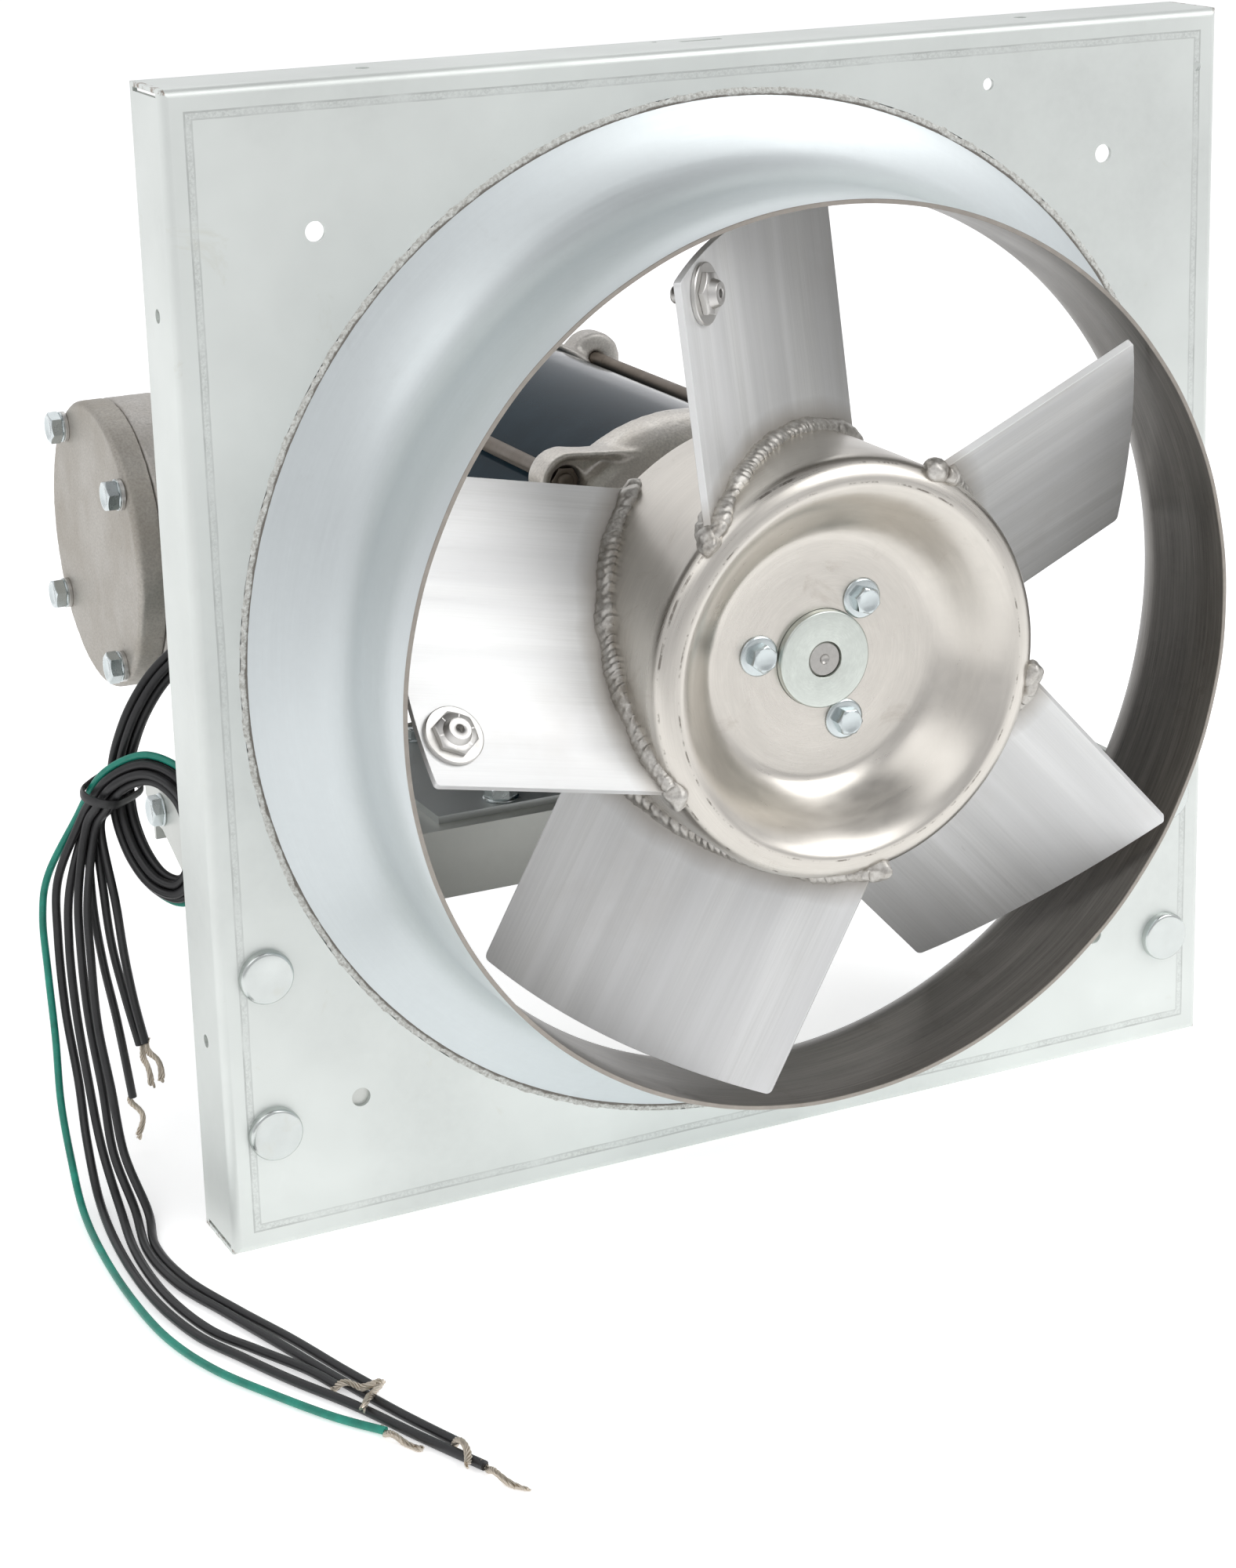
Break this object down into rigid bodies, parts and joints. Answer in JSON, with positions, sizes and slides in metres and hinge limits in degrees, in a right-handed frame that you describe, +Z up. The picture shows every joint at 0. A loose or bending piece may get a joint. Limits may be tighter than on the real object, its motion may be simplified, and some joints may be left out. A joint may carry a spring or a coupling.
{
  "type": "square panel exhaust fan",
  "caption": "Direct-drive wall exhaust fan: square galvanised panel, spun ring, aluminium blade wheel on a drum hub, and an enclosed motor with a round conduit box on a bracket.",
  "frame": {"origin": "centre of the panel's rear rim plane, on the fan axis; the rim is the face that seats on the wall curb", "axes": "+X to the right seen from the air outlet side, +Y from the wheel back toward the motor, +Z up; the air leaves toward -Y"},
  "size_m": [0.4535, 0.4512, 0.4101],
  "materials": {
    "galvanised_sheet": "satin",
    "spun_galvanised": "satin",
    "sealant": "matte",
    "zinc_plated": "satin",
    "yellow_zinc": "satin",
    "spun_aluminium": "satin",
    "sheet_aluminium": "satin",
    "weld_aluminium": "satin",
    "cast_aluminium": "matte",
    "motor_paint": "gloss",
    "dark_steel": "satin",
    "bearing_steel": "gloss",
    "shaft_steel": "satin",
    "core_steel": "matte",
    "copper_wire": "satin",
    "protector_case": "matte",
    "seal_rubber": "matte",
    "black_insulation": "satin",
    "green_insulation": "satin",
    "tie_plastic": "matte"
  },
  "bodies": {
    "frame": {"panel": "galvanised_sheet", "side_bracket_left": "galvanised_sheet", "side_bracket_right": "galvanised_sheet", "cross_channel_front": "galvanised_sheet", "cross_channel_rear": "galvanised_sheet", "motor_base_plate": "galvanised_sheet", "venturi_ring": "spun_galvanised", "seam_sealant": "sealant", "carriage_bolts": "zinc_plated", "carriage_nuts": "zinc_plated", "channel_bolts": "zinc_plated", "channel_nuts": "zinc_plated", "base_plate_bolts": "zinc_plated", "base_plate_nuts": "zinc_plated", "cradle_bolts": "zinc_plated", "wave_washer": "zinc_plated", "cover_bolts": "zinc_plated", "cover_lock_washers": "zinc_plated", "front_end_bell": "cast_aluminium", "rear_end_bell": "cast_aluminium", "conduit_box": "cast_aluminium", "conduit_cover": "cast_aluminium", "motor_shell": "motor_paint", "motor_cradle": "motor_paint", "tie_rods": "dark_steel", "tie_rod_nuts": "dark_steel", "outer_races": "bearing_steel", "bearing_balls": "bearing_steel", "stator_core": "core_steel", "stator_windings": "copper_wire", "thermal_protector": "protector_case", "lead_bushing": "seal_rubber", "lead_black_1": "black_insulation", "lead_black_2": "black_insulation", "lead_black_3": "black_insulation", "lead_black_4": "black_insulation", "lead_black_5": "black_insulation", "lead_black_6": "black_insulation", "lead_black_7": "black_insulation", "lead_green": "green_insulation", "harness_tie": "tie_plastic"},
    "rotor": {"hub_drum": "spun_aluminium", "blade_1": "sheet_aluminium", "blade_2": "sheet_aluminium", "blade_3": "sheet_aluminium", "blade_4": "sheet_aluminium", "blade_5": "sheet_aluminium", "weld_beads": "weld_aluminium", "balance_washers": "zinc_plated", "balance_nuts": "zinc_plated", "balance_bolts": "zinc_plated", "hub_bushing": "yellow_zinc", "hub_bolts": "zinc_plated", "shaft_key": "zinc_plated", "motor_shaft": "shaft_steel", "rotor_core": "core_steel", "inner_races": "bearing_steel"}
  },
  "joints": [
    {"name": "wheel_spin", "type": "hinge", "parent": "frame", "child": "rotor", "pos_m": [0, 0, 0], "axis": [0, 1, 0], "continuous": true}
  ]
}
